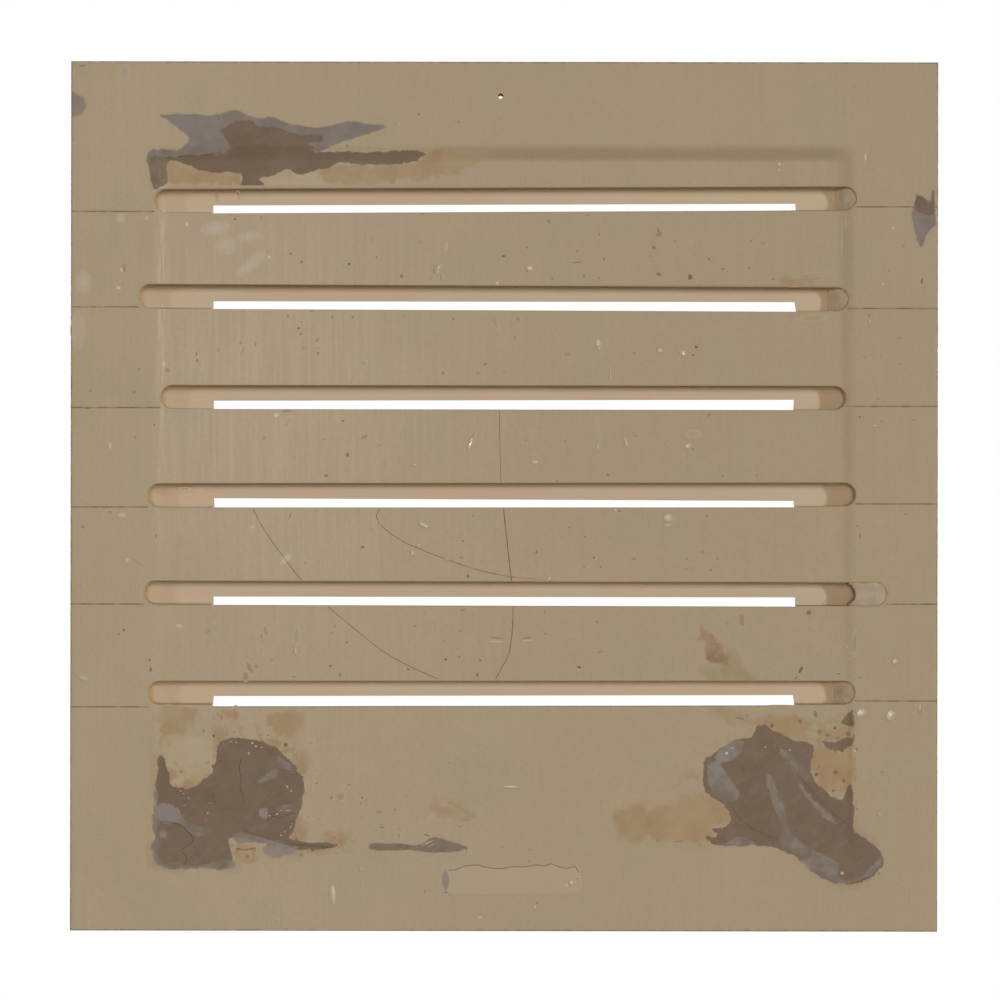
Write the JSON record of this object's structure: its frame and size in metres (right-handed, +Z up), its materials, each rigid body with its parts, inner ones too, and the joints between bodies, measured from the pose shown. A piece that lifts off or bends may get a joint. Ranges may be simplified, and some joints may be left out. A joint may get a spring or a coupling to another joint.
{
  "type": "gable louver vent",
  "caption": "Square painted wall vent: a slotted face board with round-ended slots on a half-lapped frame that houses sloping louver slats, with worn paint and filler patches.",
  "frame": {"origin": "under the middle of the whole vent: mid width, mid depth, level with the board's bottom edge", "axes": "+X to the right as seen from the front, +Y from the front to the back, +Z up"},
  "size_m": [0.457, 0.0404, 0.4581],
  "materials": {
    "face_paint": "old beige oil paint on board, satin, with pits, drips and pencil lines",
    "frame_paint": "thin beige paint over softwood, satin",
    "brown_filler": "sanded two-part filler, brown with grey streaks",
    "grey_filler": "smeared grey filler, matt",
    "pale_filler": "pale filler under thin paint",
    "zinc_screw": "dull zinc plate"
  },
  "bodies": {
    "root": {"face_board": "face_paint", "filler_top_left": "brown_filler", "filler_bottom_left": "brown_filler", "filler_bottom_right": "brown_filler", "filler_right_edge": "grey_filler", "filler_bottom_centre": "pale_filler", "slot_filler_1": "grey_filler", "slot_filler_2": "grey_filler", "slot_filler_6": "grey_filler", "slot_filler_5": "pale_filler", "louver_slat_1": "frame_paint", "louver_slat_2": "frame_paint", "louver_slat_3": "frame_paint", "louver_slat_4": "frame_paint", "louver_slat_5": "frame_paint", "louver_slat_6": "frame_paint", "left_stile": "frame_paint", "right_stile": "frame_paint", "top_rail": "frame_paint", "bottom_rail": "frame_paint", "frame_screw_1": "zinc_screw", "frame_screw_2": "zinc_screw", "frame_screw_3": "zinc_screw", "frame_screw_4": "zinc_screw", "frame_screw_5": "zinc_screw", "frame_screw_6": "zinc_screw", "frame_screw_7": "zinc_screw", "frame_screw_8": "zinc_screw"}
  },
  "joints": []
}
